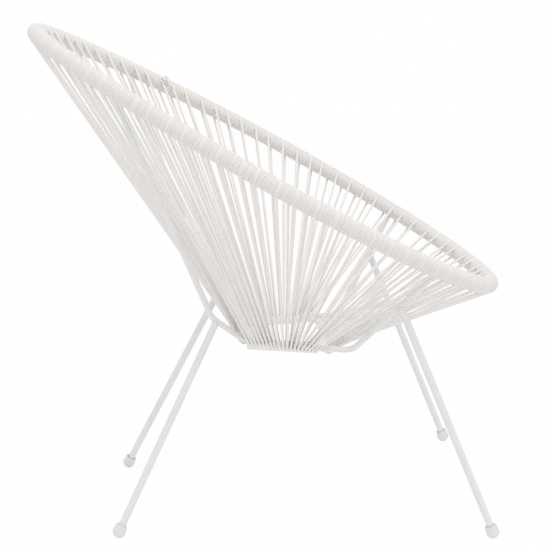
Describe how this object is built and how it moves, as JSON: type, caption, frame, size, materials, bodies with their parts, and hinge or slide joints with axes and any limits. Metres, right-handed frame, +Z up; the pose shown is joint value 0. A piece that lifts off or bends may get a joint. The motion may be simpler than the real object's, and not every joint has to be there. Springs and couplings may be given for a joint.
{
  "type": "acapulco chair",
  "caption": "Round patio lounge chair: a tilted egg-shaped steel hoop wound with plastic cord, a fan of taut cord strands as its bucket seat, and four splayed legs.",
  "frame": {"origin": "on the floor, under the middle of the chair's outer box", "axes": "+Z up; the sitter faces -Y, so +Y is the backrest's side; +X is the sitter's left"},
  "size_m": [0.7138, 0.7911, 0.8481],
  "materials": {
    "frame_paint": "satin powder coat, off white",
    "seat_cord": "smooth extruded cord, warm off white",
    "foot_plastic": "moulded, light grey white"
  },
  "bodies": {
    "root": {"hoop_tube": "frame_paint", "left_side_rod": "frame_paint", "right_side_rod": "frame_paint", "rear_hub_bar": "frame_paint", "front_hub_bar": "frame_paint", "left_rear_leg": "frame_paint", "right_rear_leg": "frame_paint", "left_front_leg": "frame_paint", "right_front_leg": "frame_paint", "hoop_winding": "seat_cord", "hoop_winding_knot": "seat_cord", "left_rear_foot": "foot_plastic", "right_rear_foot": "foot_plastic", "left_front_foot": "foot_plastic", "right_front_foot": "foot_plastic", "seat_cord_rear_1": "seat_cord", "seat_cord_rear_2": "seat_cord", "seat_cord_rear_3": "seat_cord", "seat_cord_rear_4": "seat_cord", "seat_cord_left_1": "seat_cord", "seat_cord_left_2": "seat_cord", "seat_cord_left_3": "seat_cord", "seat_cord_left_4": "seat_cord", "seat_cord_front_1": "seat_cord", "seat_cord_front_2": "seat_cord", "seat_cord_front_3": "seat_cord", "seat_cord_front_4": "seat_cord", "seat_cord_right_1": "seat_cord", "seat_cord_right_2": "seat_cord", "seat_cord_right_3": "seat_cord", "seat_cord_right_4": "seat_cord"}
  },
  "joints": []
}
